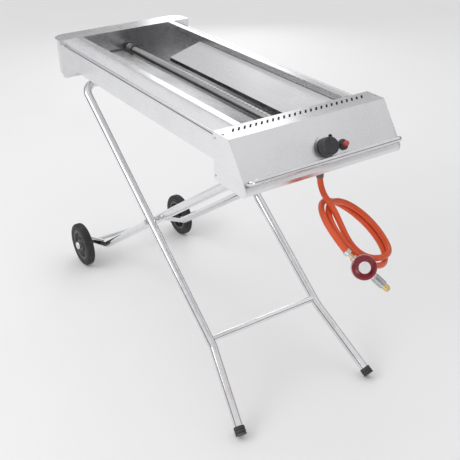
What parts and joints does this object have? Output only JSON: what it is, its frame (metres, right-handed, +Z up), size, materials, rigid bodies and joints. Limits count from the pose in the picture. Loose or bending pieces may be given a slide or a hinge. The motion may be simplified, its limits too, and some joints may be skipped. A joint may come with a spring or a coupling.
{
  "type": "folding gas barbecue",
  "caption": "Long folding stainless-steel gas barbecue on crossed tube legs with two wheels, a sloping control box, side rails and a hanging gas hose with regulator.",
  "frame": {"origin": "on the floor under the middle of the barbecue, without its hose", "axes": "+X along the firebox towards the control box, +Y across it away from the left rail, +Z up"},
  "size_m": [1.463, 0.4916, 0.8773],
  "materials": {
    "sheet_steel": "satin stainless sheet",
    "deflector_steel": "satin stainless sheet, lighter",
    "burner_steel": "dull stainless tube",
    "spring_wire": "dark heat-stained wire",
    "polished_tube": "polished stainless tube",
    "zinc_steel": "zinc-plated steel",
    "brass": "turned brass",
    "valve_metal": "die-cast body",
    "dark_clamp": "black crimp collar",
    "porcelain": "white ceramic insulator and steel wire",
    "lead_sleeve": "black silicone sleeve",
    "black_plastic": "black moulded plastic",
    "red_plastic": "red moulded button",
    "knob_plastic": "charcoal moulded plastic",
    "foot_rubber": "black ribbed rubber",
    "wheel_tyre": "dark solid tyre",
    "wheel_plastic": "dark grey moulded hub",
    "cap_steel": "bright pressed cap",
    "hose_orange": "orange gas hose",
    "regulator_casting": "painted die casting",
    "regulator_red": "dark red lacquer",
    "label_white": "blank white disc",
    "nut_steel": "nickel-plated nut"
  },
  "bodies": {
    "grill": {"firebox_shell": "sheet_steel", "far_end_panel": "sheet_steel", "near_end_wall": "sheet_steel", "left_deflector": "deflector_steel", "right_deflector": "deflector_steel", "burner_tube": "burner_steel", "burner_bracket": "burner_steel", "burner_clip": "spring_wire", "venturi": "burner_steel", "injector": "brass", "valve_body": "valve_metal", "supply_pipe": "brass", "gas_inlet": "brass", "spark_electrode": "porcelain", "ignition_lead": "lead_sleeve", "control_panel": "sheet_steel", "box_floor": "sheet_steel", "left_cheek": "sheet_steel", "right_cheek": "sheet_steel", "cheek_screws": "zinc_steel", "front_handle": "polished_tube", "left_rail": "polished_tube", "right_rail": "polished_tube", "rail_studs": "zinc_steel", "hinge_brackets": "zinc_steel", "leg_rests": "zinc_steel", "leg_stops": "zinc_steel", "igniter_body": "black_plastic", "inlet_clamp": "dark_clamp", "hose_lead": "hose_orange", "hose_loops": "hose_orange", "hose_tail": "hose_orange", "regulator_clamp": "zinc_steel", "regulator_body": "regulator_casting", "regulator_dome": "regulator_red", "regulator_badge": "label_white", "bottle_spigot": "brass"},
    "front_legs": {"front_leg_frame": "polished_tube", "front_leg_crossbar": "polished_tube", "left_foot_cap": "foot_rubber", "right_foot_cap": "foot_rubber", "pivot_bolts": "zinc_steel"},
    "rear_legs": {"rear_leg_left": "polished_tube", "rear_leg_right": "polished_tube", "rear_leg_tie": "polished_tube", "rear_leg_pegs": "zinc_steel", "rear_leg_plugs": "black_plastic", "wheel_axle": "zinc_steel", "left_axle_cap": "cap_steel", "right_axle_cap": "cap_steel"},
    "left_wheel": {"left_tyre": "wheel_tyre", "left_wheel_hub": "wheel_plastic"},
    "right_wheel": {"right_tyre": "wheel_tyre", "right_wheel_hub": "wheel_plastic"},
    "knob_stem": {"valve_spindle": "zinc_steel"},
    "knob": {"control_knob": "knob_plastic"},
    "igniter_press": {"igniter_button": "red_plastic"},
    "wing_nut": {"bottle_nut": "nut_steel"}
  },
  "joints": [
    {"name": "front_legs_fold", "type": "hinge", "parent": "grill", "child": "front_legs", "pos_m": [-0.407, 0, 0.734], "axis": [0, -1, 0], "range_deg": [0, 34.2]},
    {"name": "rear_legs_fold", "type": "hinge", "parent": "front_legs", "child": "rear_legs", "pos_m": [0.014, 0, 0.422], "axis": [0, -1, 0], "range_deg": [-66.4, 0]},
    {"name": "left_wheel_roll", "type": "hinge", "parent": "rear_legs", "child": "left_wheel", "pos_m": [-0.545, -0.207, 0.08], "axis": [0, 1, 0], "continuous": true},
    {"name": "right_wheel_roll", "type": "hinge", "parent": "rear_legs", "child": "right_wheel", "pos_m": [-0.545, 0.207, 0.08], "axis": [0, 1, 0], "continuous": true},
    {"name": "knob_push", "type": "slide", "parent": "grill", "child": "knob_stem", "axis": [0.844, 0, 0.5364], "range_m": [-0.003, 0], "stiffness_N_per_m": 1200, "springref_m": 0.001},
    {"name": "knob_turn", "type": "hinge", "parent": "knob_stem", "child": "knob", "pos_m": [0.59323, 0.0145, 0.81764], "axis": [0.844, 0, 0.5364], "range_deg": [0, 270]},
    {"name": "igniter_push", "type": "slide", "parent": "grill", "child": "igniter_press", "axis": [0.844, 0, 0.5364], "range_m": [-0.006, 0], "stiffness_N_per_m": 800, "springref_m": 0.002},
    {"name": "wing_nut_turn", "type": "hinge", "parent": "grill", "child": "wing_nut", "pos_m": [0.81381, -0.00434, 0.56241], "axis": [0.6698, 0.435, -0.6018], "continuous": true}
  ],
  "couplings": [
    {"joint": "rear_legs_fold", "follows": "front_legs_fold", "ratio": -1.9376}
  ]
}
